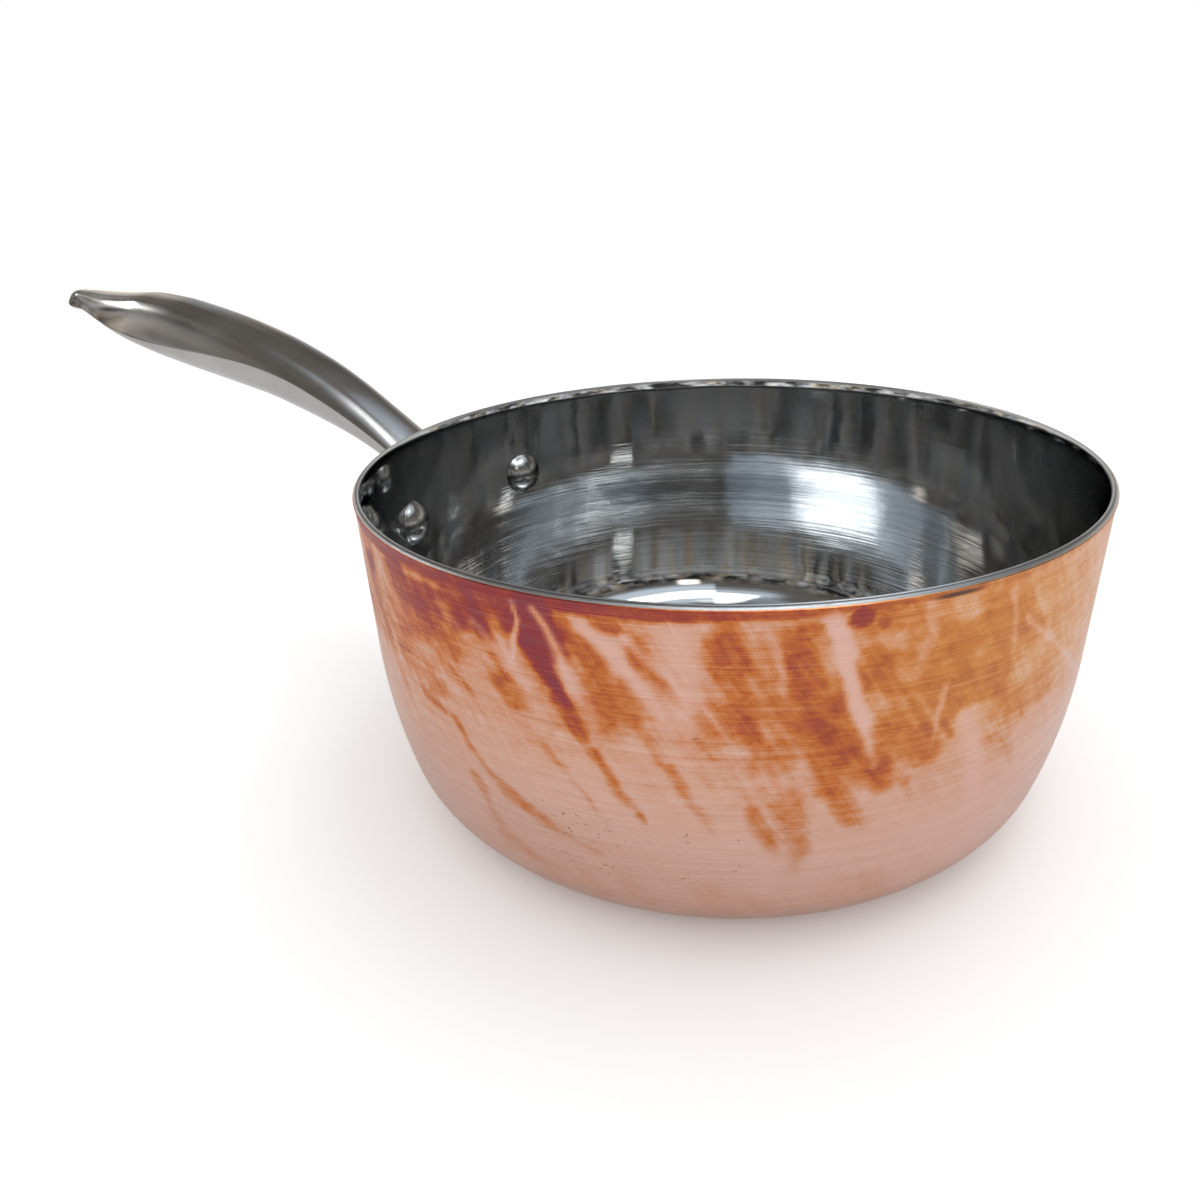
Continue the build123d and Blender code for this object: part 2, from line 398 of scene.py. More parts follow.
# an angle-like parameter for each outline point; nothing below uses it
fo = np.arctan2((wing[:, 1] - RIV_Z) / WING_H, wing[:, 0] / WING_W)
blend_rings = []
n_blend = 16
for i in range(1, n_blend + 1):
    s = i / n_blend
    h00, h10 = 2 * s ** 3 - 3 * s ** 2 + 1, s ** 3 - 2 * s ** 2 + s
    h01, h11 = -2 * s ** 3 + 3 * s ** 2, s ** 3 - s ** 2
    row = []
    for k in range(N_RING):
        A = neck[k]
        B = plate_point(foot[k, 0], foot[k, 1], PLATE_T)
        C = plate_point(foot[k, 0] + (wing[k, 0] - foot[k, 0]) * 0.05, foot[k, 1] + (wing[k, 1] - foot[k, 1]) * 0.05, PLATE_T)
        out = C - B
        out = out / max(np.linalg.norm(out), 1e-9)
        row.append(h00 * A + h10 * (-t0 * 9.0) + h01 * B + h11 * out * 8.0)
    blend_rings.append(np.array(row))
plate_rings = []
n_plate = 12
for i in range(1, n_plate + 1):
    s = i / n_plate
    row = []
    for k in range(N_RING):
        y = foot[k, 0] + (wing[k, 0] - foot[k, 0]) * s
        z = foot[k, 1] + (wing[k, 1] - foot[k, 1]) * s
        row.append(plate_point(y, z, PLATE_T))
    plate_rings.append(np.array(row))
edge_r = 1.1


def inset(frac_out, lift):
    row = []
    for k in range(N_RING):
        dy, dz = wing[k, 0], wing[k, 1] - RIV_Z
        ln = math.hypot(dy, dz)
        row.append(plate_point(dy * (1 + frac_out / ln), RIV_Z + dz * (1 + frac_out / ln), lift))
    return np.array(row)


plate_rings[-1] = inset(-edge_r, PLATE_T)
for a in (30, 60, 90):
    a = math.radians(a)
    plate_rings.append(inset(-edge_r + edge_r * math.sin(a), PLATE_T - edge_r * (1 - math.cos(a))))
plate_rings.append(inset(0.0, 0.02))
for s in (0.75, 0.5, 0.25):
    row = [plate_point(wing[k, 0] * s, RIV_Z + (wing[k, 1] - RIV_Z) * s, 0.02) for k in range(N_RING)]
    plate_rings.append(np.array(row))

all_rings = (blend_rings + plate_rings)[::-1] + rings3
verts, faces = [], []
verts.append(plate_point(0, RIV_Z, 0.02) * MM)
for rr in all_rings:
    verts.extend(rr * MM)
verts.append(rings3[-1].mean(0) * MM)
first = 1
for k in range(N_RING):
    faces.append((0, first + k, first + (k + 1) % N_RING))
for i in range(len(all_rings) - 1):
    a, b = first + i * N_RING, first + (i + 1) * N_RING
    for k in range(N_RING):
        j = (k + 1) % N_RING
        faces.append((a + k, b + k, b + j, a + j))
last = first + (len(all_rings) - 1) * N_RING
for k in range(N_RING):
    faces.append((last + k, len(verts) - 1, last + (k + 1) % N_RING))
grip = new_object("cast_handle", verts, faces)
bm = bmesh.new()
bm.from_mesh(grip.data)
bmesh.ops.recalc_face_normals(bm, faces=bm.faces)
bm.to_mesh(grip.data)
bm.free()
sub = grip.modifiers.new("smooth", "SUBSURF")
sub.levels = sub.render_levels = 1
for o in (copper, core, lining, rivet_l, rivet_r):
    bm = bmesh.new()
    bm.from_mesh(o.data)
    bmesh.ops.recalc_face_normals(bm, faces=bm.faces)
    bm.to_mesh(o.data)
    bm.free()


# =====================================================================  tarnish on the copper
# Marks are written as (x, y): x in tenths of a degree round from azimuth 50, y in tenths of a
# millimetre down from z = 85. Amounts run 0 clean, 0.25 tan, 0.5 orange, 0.7 red-brown,
# 0.9 crimson, 1.1 purple.
def lattice(x, y, sx, sy, seed, wrap=3600.0):
    """Smooth value noise in 0..1 with cells sx by sy, repeating every wrap in x."""
    rng = np.random.default_rng(seed)
    nx = max(2, int(round(wrap / sx)))
    ny = 400
    grid = rng.random((nx, ny))
    u, v = (x / wrap * nx) % nx, (y / sy) % (ny - 1)
    i, j = np.floor(u).astype(int), np.floor(v).astype(int)
    fu, fv = u - i, v - j
    fu, fv = fu * fu * (3 - 2 * fu), fv * fv * (3 - 2 * fv)
    i0, i1, j0, j1 = i % nx, (i + 1) % nx, j % ny, (j + 1) % ny
    return ((grid[i0, j0] * (1 - fu) + grid[i1, j0] * fu) * (1 - fv)
            + (grid[i0, j1] * (1 - fu) + grid[i1, j1] * fu) * fv)


def fractal(x, y, sx, sy, seed, octaves=3):
    total, amp, norm = 0.0, 1.0, 0.0
    for o in range(octaves):
        total = total + amp * lattice(x, y + 900, sx / 2 ** o, sy / 2 ** o, seed + o)
        norm += amp
        amp *= 0.55
    return total / norm


def soft(t):
    t = np.clip(t, 0, 1)
    return t * t * (3 - 2 * t)


def slanted(x, y, seed, across=1.1, length=11.0, lean=0.52):
    """Noise drawn out along the slant that most of the marks share, joined up at x = 3600."""
    c, q = math.sin(lean), math.cos(lean)

    def at(xx):
        px, py = xx * 0.157 + 40, y * 0.1 + 40
        u, v = px * c + py * q, -px * q + py * c
        total, norm, amp = 0.0, 0.0, 1.0
        for o in range(3):
            k = 0.5 ** o
            total = total + amp * lattice(v + 700, u, across * k, length * k, seed + o, wrap=1400.0 - 1400.0 % (across * k))
            norm += amp
            amp *= 0.6
        return total / norm
    w = np.clip((x - 3350) / 250, 0, 1)
    return at(x) * (1 - w) + at(x - 3600) * w


def along(x, y, pts, hw0, hw1, edge, tear=None, ragged=0.75):
    """1 on a stroke through pts, falling to 0 past its half width, which runs from hw0 to hw1."""
    pts = np.array(pts, float) * (0.157, 0.1)
    run = np.concatenate([[0], np.cumsum(np.hypot(*np.diff(pts, axis=0).T))])
    best = np.full(x.shape, -9.0)
    px, py = x * 0.157, y * 0.1
    for (a, b, r0, r1) in zip(pts[:-1], pts[1:], run[:-1], run[1:]):
        d = b - a
        t = np.clip(((px - a[0]) * d[0] + (py - a[1]) * d[1]) / (d @ d), 0, 1)
        dist = np.hypot(px - a[0] - t * d[0], py - a[1] - t * d[1])
        f = (r0 + t * (r1 - r0)) / run[-1]
        hw = (hw0 + (hw1 - hw0) * f) * 0.15
        # the tail of a stroke thins out
        tail = 1 - 0.55 * soft((f - 0.55) / 0.45)
        best = np.maximum(best, (hw * (1 + edge) - dist) / (2 * edge * hw + 1e-6) * tail)
    if tear is not None:
        best = best + (tear - 0.5) * ragged * soft(best * 1.6 + 0.5)
    return soft(best)


def patch(x, y, cx, cy, rx, ry, edge=0.5, power=2.4, tear=None, ragged=1.0):
    s = (np.abs((x - cx) / rx) ** power + np.abs((y - cy) / ry) ** power) ** (1 / power)
    f = (1 + edge - s) / (2 * edge)
    if tear is not None:
        f = f + (tear - 0.5) * ragged * soft(f * 1.6 + 0.5)
    return soft(f)


STAINS = [          # amount, half widths, edge softness, points
    (1.00, 26, 11, 0.45, [(452, 26), (455, 90), (470, 150), (490, 215)]),
    (0.72, 14, 12, 0.7, [(480, 215), (500, 270), (520, 320)]),
    (0.68, 11, 8, 0.7, [(520, 320), (545, 400), (570, 450)]),
    (0.62, 6, 3, 0.7, [(570, 450), (580, 480)]),
    (0.52, 12, 10, 0.9, [(385, 95), (415, 190)]),
    (0.58, 16, 12, 0.8, [(490, 45), (530, 130), (570, 220), (600, 320)]),
    (0.62, 13, 10, 0.7, [(575, 80), (590, 130), (640, 230)]),
    (0.75, 9, 6, 0.8, [(530, 30), (545, 60)]),
    (0.72, 16, 12, 0.8, [(537, 46), (566, 52)]),
    (0.62, 26, 12, 0.7, [(675, 40), (680, 120), (695, 220), (712, 340)]),
    (0.68, 12, 8, 0.9, [(665, 55), (684, 110), (700, 170)]),
    (0.60, 28, 20, 0.7, [(765, 60), (772, 200), (778, 300)]),
    (0.56, 20, 9, 0.8, [(778, 300), (800, 380), (830, 470), (870, 520)]),
    (0.46, 8, 8, 0.9, [(712, 420), (735, 560)]),
    (0.46, 15, 9, 0.8, [(755, 400), (765, 600)]),
    (0.66, 8, 6, 0.8, [(940, 290), (960, 330)]),
    (0.60, 7, 9, 0.8, [(240, 320), (300, 350), (340, 420), (380, 480), (440, 530), (510, 585)]),
    (0.48, 12, 14, 0.9, [(330, 470), (345, 560), (360, 620), (400, 660), (460, 685)]),
    (0.32, 10, 10, 1.0, [(180, 300), (250, 330)]),
    (0.52, 14, 12, 0.9, [(290, 190), (330, 250), (370, 310)]),
    (0.44, 7, 5, 0.9, [(610, 330), (650, 420), (672, 500)]),
    (0.42, 6, 4, 0.9, [(450, 330), (500, 420), (530, 520)]),
    (0.40, 10, 6, 1.0, [(885, 360), (905, 440), (930, 500)]),
    (0.40, 12, 8, 1.0, [(1010, 340), (1060, 420), (1090, 480)]),
    (0.36, 12, 6, 1.0, [(120, 210), (170, 330), (215, 430)]),
]
PATCHES = [         # amount, centre, radii, edge softness
    (0.92, 270, 84, 190, 66, 0.6),
    (0.66, 290, 140, 150, 80, 0.7),
    (0.62, 110, 110, 110, 120, 0.8),
    (0.52, 215, 120, 330, 150, 0.8),
    (0.42, 265, 235, 120, 90, 0.7),
    (0.30, 60, 170, 90, 160, 0.8),
    (0.62, 420, 62, 120, 50, 0.6),
    (0.60, 945, 160, 160, 165, 0.5),
    (0.56, 880, 280, 80, 100, 0.6),
    (0.44, 1060, 270, 90, 80, 0.5),
    (0.36, 1120, 150, 130, 160, 0.8),
    (0.44, 740, 60, 70, 40, 0.7),
    (0.24, 565, 700, 300, 55, 1.0),
    (0.20, 760, 700, 270, 60, 1.0),
    (0.66, 960, 175, 22, 26, 0.8),
    (0.62, 905, 120, 26, 40, 0.8),
    (0.70, 770, 45, 20, 25, 0.4),
    (0.90, 815, 32, 12, 18, 0.35),
    (0.75, 840, 48, 8, 14, 0.4),
    (0.66, 560, 150, 16, 22, 0.9),
    (0.72, 455, 110, 30, 60, 0.7),
    (0.42, 715, 190, 120, 150, 0.9),
    (0.34, 560, 200, 110, 120, 1.0),
    (0.60, 870, 70, 14, 22, 0.9),
]
WIPES = [           # how much is rubbed off, half widths, edge softness, points
    (0.72, 7, 15, 0.8, [(455, 34), (480, 100), (510, 200), (530, 240)]),
    (0.66, 8, 11, 0.8, [(515, 50), (545, 90), (575, 150), (610, 240)]),
    (0.62, 3.8, 3.4, 0.7, [(428, 28), (430, 60), (426, 100), (421, 150), (408, 185)]),
    (0.40, 6, 10, 0.9, [(365, 95), (410, 165), (455, 220)]),
    (0.45, 16, 26, 1.0, [(622, 70), (628, 150), (632, 290)]),
    (0.88, 7, 11, 0.6, [(786, 20), (800, 60), (811, 140), (820, 220), (835, 300), (850, 350)]),
    (0.45, 6, 5, 0.8, [(930, 200), (925, 330)]),
    (0.60, 12, 14, 1.0, [(975, 280), (1000, 440), (1020, 560)]),
    (0.50, 5, 5, 0.8, [(1050, 105), (1110, 180), (1180, 270), (1300, 400)]),
    (0.45, 5, 5, 0.8, [(560, 60), (600, 120), (660, 220), (690, 300)]),
    (0.35, 5, 6, 0.9, [(720, 40), (735, 110), (742, 220)]),
    (0.16, 6, 6, 1.0, [(300, 80), (352, 140), (395, 215)]),
    (0.16, 7, 6, 1.0, [(150, 80), (190, 130), (235, 210)]),
    (0.32, 6, 9, 0.9, [(890, 30), (900, 90), (890, 170)]),
    (0.35, 5, 5, 0.9, [(1010, 40), (1032, 120), (1040, 200)]),
]
SPECKS = [          # centre, radii, strength
    (495, 515, 75, 50, 0.9), (532, 490, 36, 14, 0.8), (630, 510, 14, 34, 0.7), (695, 540, 8, 62, 0.8),
    (495, 620, 70, 34, 0.8), (650, 630, 54, 34, 0.7), (460, 215, 8, 8, 1.0), (545, 250, 9, 7, 1.0),
    (600, 260, 8, 7, 1.0), (640, 265, 8, 7, 1.0), (566, 372, 22, 26, 0.8), (760, 470, 40, 30, 0.4)]


def paint_copper(ob):
    count = len(ob.data.vertices)
    co = np.empty(count * 3)
    ob.data.vertices.foreach_get("co", co)
    co = co.reshape(-1, 3) / MM
    az = np.degrees(np.arctan2(co[:, 1], co[:, 0]))
    r = np.hypot(co[:, 0], co[:, 1])
    x0 = ((az - 50.0) % 360.0) * 10.0
    y0 = (85.0 - co[:, 2]) * 10.0 + np.clip(corner_cr - r, 0, None) * 10.0
    x = x0 + (fractal(x0, y0, 110, 130, 11) - 0.5) * 22 + (lattice(x0, y0, 22, 26, 15) - 0.5) * 3
    y = y0 + (fractal(x0, y0, 110, 130, 21) - 0.5) * 26 + (lattice(x0, y0, 22, 26, 25) - 0.5) * 3
    slant = slanted(x0, y0, 71, across=6.0, length=26.0)
    blotch = fractal(x0, y0, 52, 70, 91)
    tear = np.clip(0.5 + (slant - 0.5) * 1.1 + (blotch - 0.5) * 0.9, 0, 1)
    film = 0.07 + 0.17 * soft((560 - y0) / 420)         # thin overall film, less towards the foot
    amount = film + 0.22 * (fractal(x0, y0, 240, 190, 31) - 0.45)
    for amp, cx, cy, rx, ry, edge_w in PATCHES:
        amount = np.maximum(amount, amp * (0.72 + 0.5 * tear) * patch(x, y, cx, cy, rx, ry, edge_w, tear=tear))
    for amp, hw0, hw1, edge_w, pts in STAINS:
        amount = np.maximum(amount, amp * (0.82 + 0.3 * tear)
                            * along(x, y, pts, hw0 * 1.25, hw1 * 1.25, edge_w, tear=tear))
    amount = amount * (0.47 + 0.64 * soft((660 - y0) / 400))
    rub = np.zeros(count)
    for amp, hw0, hw1, edge_w, pts in WIPES:
        rub = np.maximum(rub, amp * along(x, y, pts, hw0, hw1, edge_w, tear=1 - tear, ragged=0.45))
    # the sides turned away carry the same kinds of mark, strewn at random
    rng = random.Random(41)
    for i in range(46):
        cx, cy = rng.uniform(1330, 3590), rng.uniform(30, 380)
        amp, hw = rng.uniform(0.36, 0.8), rng.uniform(6, 26)
        lean, fall = rng.uniform(20, 110), rng.uniform(90, 290)
        pts = [(cx, cy), (cx + lean * 0.4, cy + fall * 0.5), (cx + lean, cy + fall)]
        soft_w = rng.uniform(0.3, 0.9)
        if pts[-1][0] < 3590:
            amount = np.maximum(amount, amp * (0.82 + 0.3 * tear)
                                * along(x, y, pts, hw * 1.2, hw * soft_w, 0.8, tear=tear))
    for i in range(13):
        cx, cy = rng.uniform(1450, 3480), rng.uniform(60, 330)
        amount = np.maximum(amount, rng.uniform(0.4, 0.7) * (0.72 + 0.5 * tear)
                            * patch(x, y, cx, cy, rng.uniform(70, 180), rng.uniform(60, 160), 0.6, tear=tear))
    for i in range(9):
        cx, cy = rng.uniform(1400, 3500), rng.uniform(560, 760)
        amount = np.maximum(amount, rng.uniform(0.22, 0.4)
                            * patch(x, y, cx, cy, rng.uniform(90, 240), rng.uniform(30, 60), 0.8, tear=tear))
    for i in range(40):
        cx, cy = rng.uniform(1340, 3560), rng.uniform(20, 380)
        lean, fall, hw = rng.uniform(-20, 110), rng.uniform(80, 300), rng.uniform(4.0, 14)
        pts = [(cx, cy), (cx + lean * 0.6, cy + fall * 0.5), (cx + lean, cy + fall)]
        strength, flare_w = rng.uniform(0.4, 0.95), rng.uniform(0.5, 1.4)
        if 1340 < pts[-1][0] < 3590:
            rub = np.maximum(rub, strength * along(x, y, pts, hw, hw * flare_w, 0.7, tear=1 - tear, ragged=0.5))
    # underside: ring-shaped haze and a worn ring where it stands
    under = co[:, 2] < 1.0
    haze = 0.20 + 0.34 * (fractal(x0, (corner_cr - r) * 10, 420, 90, 51) - 0.3) + 0.10 * np.cos(r * 0.42)
    amount = np.where(under, np.maximum(haze, 0.04), amount)
    rub = np.maximum(rub, 0.6 * soft(1 - np.abs(r - 63.5) / 4.5) * (co[:, 2] < 0.6))
    amount = amount * (1 - rub)
    # dark band under the lip
    knots = [0, 60, 300, 530, 570, 650, 800, 930, 1240, 1320, 1700, 2100, 2500, 2900, 3300, 3600]
    lower = np.interp(x0, knots, [24, 27, 28, 27, 26, 22, 17, 16, 15, 16, 22, 18, 25, 20, 23, 24])
    depth = np.interp(x0, knots, [0.95, 1.00, 1.02, 1.00, 0.86, 0.84, 0.74, 0.66, 0.42, 0.45, 0.84, 0.66, 0.98, 0.74, 0.9, 0.95])
    lower = lower + (fractal(x0, y0, 46, 900, 61) - 0.5) * 11 + (lattice(x0, y0, 9, 9, 65) - 0.5) * 4
    below = np.clip(y0 - lower, 0, None)
    band = depth * np.exp(-(below / 9.0) ** 1.2) * soft((y0 - 1.5) / 4.0)
    line = along(x, y, WIPES[0][4], 6, 14, 0.5)
    band = band * (1 - 0.8 * line * (y0 > 24))
    amount = np.maximum(amount, band)
    lip = soft((7.0 - y0) / 4.0)
    amount = amount * (1 - 0.45 * lip)
    grey = patch(x0, y0, 932, 15, 30, 4.5, 0.5) * 0.9
    spots = np.zeros(count)
    for cx, cy, rx, ry, amp in SPECKS:
        spots = np.maximum(spots, amp * patch(x, y, cx, cy, rx, ry, 0.7))
    for i in range(22):
        cx, cy = rng.uniform(1340, 3560), rng.uniform(180, 680)
        spots = np.maximum(spots, rng.uniform(0.5, 1.0)
                           * patch(x, y, cx, cy, rng.uniform(8, 70), rng.uniform(8, 45), 0.8))
    gold = np.maximum(patch(x, y, 1080, 150, 230, 190, 0.7), 0.7 * patch(x, y, 2450, 180, 300, 170, 0.8))
    for name, values in (("gold", gold), ("tarnish", amount), ("specks", spots), ("soot", grey), ("rubbed", rub)):
        attr = ob.data.attributes.new(name, "FLOAT", "POINT")
        attr.data.foreach_set("value", np.ascontiguousarray(values, dtype=np.float32))


paint_copper(copper)


# =====================================================================  material helpers
class Nodes:
    def __init__(self, name):
        self.mat = bpy.data.materials.new(name)
        self.mat.use_nodes = True
        self.tree = self.mat.node_tree
        self.shader = self.tree.nodes["Principled BSDF"]

    def add(self, kind, ins=None, **props):
        n = self.tree.nodes.new("ShaderNode" + kind)
        for k, v in props.items():
            setattr(n, k, v)
        for k, v in (ins or {}).items():
            self.put(n, k, v)
        return n

    def put(self, n, key, v):
        sock = n.inputs[key]
        if isinstance(v, bpy.types.NodeSocket):
            self.tree.links.new(v, sock)
        elif isinstance(v, bpy.types.Node):
            self.tree.links.new(v.outputs[0], sock)
        else:
            sock.default_value = v

    def math(self, op, a, b=None, c=None, clamp=False):
        n = self.add("Math", operation=op, use_clamp=clamp)
        for i, v in enumerate((a, b, c)):
            if v is not None:
                self.put(n, i, v)
        return n.outputs[0]

    def attr(self, name):
        return self.add("Attribute", attribute_name=name).outputs["Fac"]

    def noise(self, vector, scale, detail=3.0, rough=0.5, distortion=0.0):
        return self.add("TexNoise", {"Vector": vector, "Scale": scale, "Detail": detail,
                                     "Roughness": rough, "Distortion": distortion}).outputs["Fac"]

    def span(self, v, a, b, c, d, kind="LINEAR"):
        n = self.add("MapRange", {"Value": v, "From Min": a, "From Max": b, "To Min": c, "To Max": d},
                     interpolation_type=kind)
        return n.outputs["Result"]

    def ramp(self, v, stops, interp="LINEAR"):
        n = self.add("ValToRGB", {"Fac": v})
        n.color_ramp.interpolation = interp
        while len(n.color_ramp.elements) < len(stops):
            n.color_ramp.elements.new(0.5)
        for e, (p, col) in zip(n.color_ramp.elements, stops):
            e.position = p
        for e, (p, col) in zip(n.color_ramp.elements, stops):
            e.color = (*col, 1)
        return n.outputs["Color"]

    def mix(self, f, a, b, blend="MIX"):
        n = self.add("Mix", data_type="RGBA", blend_type=blend)
        n.clamp_factor = True
        self.put(n, 0, f)
        self.put(n, 6, a)
        self.put(n, 7, b)
        return n.outputs[2]

    def bump(self, height, strength, distance, normal=None):
        n = self.add("Bump", {"Height": height, "Strength": strength, "Distance": distance})
        if normal is not None:
            self.put(n, "Normal", normal)
        return n.outputs["Normal"]

    def set(self, **ins):
        for k, v in ins.items():
            self.put(self.shader, k.replace("_", " "), v)
        return self.mat


def lin(r, g, b):
    """Linear colour from 0..255 display values."""
    return tuple(((c / 255 + 0.055) / 1.055) ** 2.4 if c > 10 else c / 255 / 12.92 for c in (r, g, b))


def seen_as(r, g, b):
    """Base colour of a metal that looks like this display colour over the grey-white floor."""
    return tuple(min(1.0, v * 1.36) for v in lin(r, g, b))


def lathe_vector(n, round_scale, arc_scale):
    """Coordinates drawn out round the axis, for marks left by spinning and polishing."""
    tc = n.add("TexCoord").outputs["Object"]
    sep = n.add("SeparateXYZ", {0: tc})
    return n.add("CombineXYZ", {0: n.math("MULTIPLY", sep.outputs[0], round_scale),
                                1: n.math("MULTIPLY", sep.outputs[1], round_scale),
                                2: n.math("MULTIPLY", n.attr("arc"), arc_scale)}).outputs[0]


def copper_material():
    n = Nodes("brushed_tarnished_copper")
    coord = n.add("TexCoord").outputs["Object"]
    tarnish = n.attr("tarnish")
    amount = n.span(tarnish, 0.07, 0.32, 0.12, 1.0)
    brush = n.noise(lathe_vector(n, 55.0, 3.4), 1.0, 4.0, 0.62)
    brush_wide = n.noise(lathe_vector(n, 26.0, 0.9), 1.0, 3.0, 0.6)
    flat = n.add("Mapping", {"Vector": coord, "Scale": (1.0, 1.0, 1.9)}).outputs[0]
    cloud = n.noise(flat, 150.0, 7.0, 0.62, 0.6)
    grain = n.noise(flat, 620.0, 5.0, 0.65)
    # marks slant down round the wall, so the coordinates are turned with the height
    sep = n.add("SeparateXYZ", {0: coord})
    helix = n.add("VectorRotate", {"Vector": coord, "Angle": n.math("MULTIPLY", sep.outputs[2], 6.7)},
                  rotation_type="Z_AXIS").outputs[0]
    helix = n.add("Mapping", {"Vector": helix, "Scale": (1.0, 1.0, 0.16)}).outputs[0]
    drag = n.noise(helix, 420.0, 4.0, 0.62)
    t = n.math("ADD", tarnish, n.math("MULTIPLY", n.math("MULTIPLY", n.math("SUBTRACT", cloud, 0.5), 0.74), amount))
    t = n.math("ADD", t, n.math("MULTIPLY", n.math("MULTIPLY", n.math("SUBTRACT", drag, 0.5), 0.58), amount))
    t = n.math("ADD", t, n.math("MULTIPLY", n.math("MULTIPLY", n.math("SUBTRACT", grain, 0.5), 0.34), amount))
    worked = n.math("ADD", 0.6, n.math("MULTIPLY", amount, 0.9))
    t = n.math("ADD", t, n.math("MULTIPLY", n.math("MULTIPLY", n.math("SUBTRACT", brush, 0.5), 0.30), worked))
    t = n.math("ADD", t, n.math("MULTIPLY", n.math("MULTIPLY", n.math("SUBTRACT", brush_wide, 0.5), 0.24), worked))
    fac = n.math("DIVIDE", t, 1.25, clamp=True)
    colour = n.ramp(fac, [
        (0.00, seen_as(208, 171, 157)),
        (0.08, seen_as(203, 162, 145)),
        (0.20, seen_as(197, 146, 121)),
        (0.34, seen_as(192, 126, 85)),
        (0.46, seen_as(184, 107, 55)),
        (0.57, seen_as(170, 88, 54)),
        (0.68, seen_as(152, 70, 54)),
        (0.81, seen_as(141, 58, 57)),
        (1.00, seen_as(128, 60, 68))])
    golden = n.ramp(fac, [(0.0, seen_as(206, 170, 154)), (0.22, seen_as(204, 156, 112)),
                          (0.45, seen_as(196, 132, 70)), (1.0, seen_as(160, 84, 46))])
    colour = n.mix(n.math("MULTIPLY", n.attr("gold"), 0.8), colour, golden)
    # pale lilac cast where a finger has wiped through
    colour = n.mix(n.math("MULTIPLY", n.attr("rubbed"), 0.45), colour, (*seen_as(212, 168, 160), 1))
    # fine pale and dark brush lines
    fine = n.noise(lathe_vector(n, 30.0, 9.0), 1.0, 2.0, 0.7)
    colour = n.mix(n.span(fine, 0.55, 0.8, 0.0, 0.30), colour, (*seen_as(226, 186, 168), 1))
    colour = n.mix(n.span(fine, 0.43, 0.24, 0.0, 0.42), colour, (*seen_as(128, 76, 58), 1))
    # grey specks
    fleck = n.add("Mapping", {"Vector": coord, "Scale": (1.0, 1.0, 1.5)}).outputs[0]
    dot = n.span(n.noise(fleck, 780.0, 2.0, 0.6), 0.635, 0.69, 0.0, 1.0)
    spot = n.math("MULTIPLY", dot, n.attr("specks"), clamp=True)
    few = n.math("MULTIPLY", n.span(n.noise(flat, 420.0, 3.0, 0.6), 0.70, 0.76, 0.0, 0.65), n.span(tarnish, 0.2, 0.5, 0.15, 0.6))
    colour = n.mix(n.math("MULTIPLY", spot, 0.75), colour, (*lin(116, 92, 84), 1))
    colour = n.mix(few, colour, (*lin(120, 66, 44), 1))
    colour = n.mix(n.attr("soot"), colour, (*lin(82, 70, 72), 1))
    rough = n.math("ADD", n.math("MULTIPLY", fac, 0.12), n.math("MULTIPLY", brush_wide, 0.14))
    rough = n.math("ADD", rough, n.math("ADD", 0.22, n.math("MULTIPLY", spot, 0.2)))
    normal = n.bump(brush, 0.45, 0.000012)
    normal = n.bump(fine, 0.5, 0.000006, normal)
    return n.set(Base_Color=colour, Metallic=1.0, Roughness=rough, Normal=normal)


def lining_material():
    n = Nodes("polished_steel_lining")
    coord = n.add("TexCoord").outputs["Object"]
    fine = n.noise(lathe_vector(n, 22.0, 5.0), 1.0, 3.0, 0.6)
    ring_marks = n.noise(lathe_vector(n, 8.0, 0.85), 1.0, 3.0, 0.55)
    wave = n.noise(coord, 62.0, 2.0, 0.45)
    smear = n.noise(coord, 34.0, 5.0, 0.6, 0.8)
    spots = n.add("TexVoronoi", {"Vector": coord, "Scale": 190.0, "Randomness": 1.0}, feature="F1")
    drop = n.math("MULTIPLY", n.span(spots.outputs["Distance"], 0.16, 0.10, 0.0, 1.0),
                  n.math("GREATER_THAN", n.noise(coord, 90.0, 1.0), 0.60))
    base = n.ramp(ring_marks, [(0.3, (0.555, 0.565, 0.57)), (0.7, (0.655, 0.665, 0.67))])
    rough = n.span(smear, 0.35, 0.75, 0.020, 0.060)
    rough = n.math("ADD", rough, n.math("MULTIPLY", fine, 0.025))
    rough = n.math("ADD", rough, n.math("MULTIPLY", drop, 0.06))
    height = n.add("SeparateXYZ", {0: coord}).outputs[2]
    rough = n.math("ADD", rough, n.span(height, 0.0842, 0.0848, 0.0, 0.28))     # the cut edge isn't polished
    normal = n.bump(fine, 0.5, 0.0000085)
    normal = n.bump(ring_marks, 0.5, 0.000036, normal)
    normal = n.bump(wave, 0.5, 0.00022, normal)
    return n.set(Base_Color=base, Metallic=1.0, Roughness=rough, Normal=normal)


def core_material():
    n = Nodes("cut_rim_satin_metal")
    coord = n.add("TexCoord").outputs["Object"]
    lines = n.noise(lathe_vector(n, 20.0, 16.0), 1.0, 3.0, 0.7)
    blot = n.noise(coord, 300.0, 4.0, 0.6)
    base = n.ramp(lines, [(0.3, (0.50, 0.50, 0.51)), (0.7, (0.74, 0.745, 0.75))])
    base = n.mix(n.span(blot, 0.6, 0.75, 0.0, 0.35), base, (0.24, 0.23, 0.23, 1))
    sep = n.add("SeparateXYZ", {0: coord})
    radius = n.math("SQRT", n.math("ADD", n.math("POWER", sep.outputs[0], 2.0), n.math("POWER", sep.outputs[1], 2.0)))
    base = n.mix(n.span(radius, 0.09055, 0.09115, 0.0, 1.0), (0.24, 0.235, 0.235, 1), base)
    rough = n.span(blot, 0.3, 0.7, 0.33, 0.42)
    return n.set(Base_Color=base, Metallic=1.0, Roughness=rough, Normal=n.bump(lines, 0.6, 0.00002))


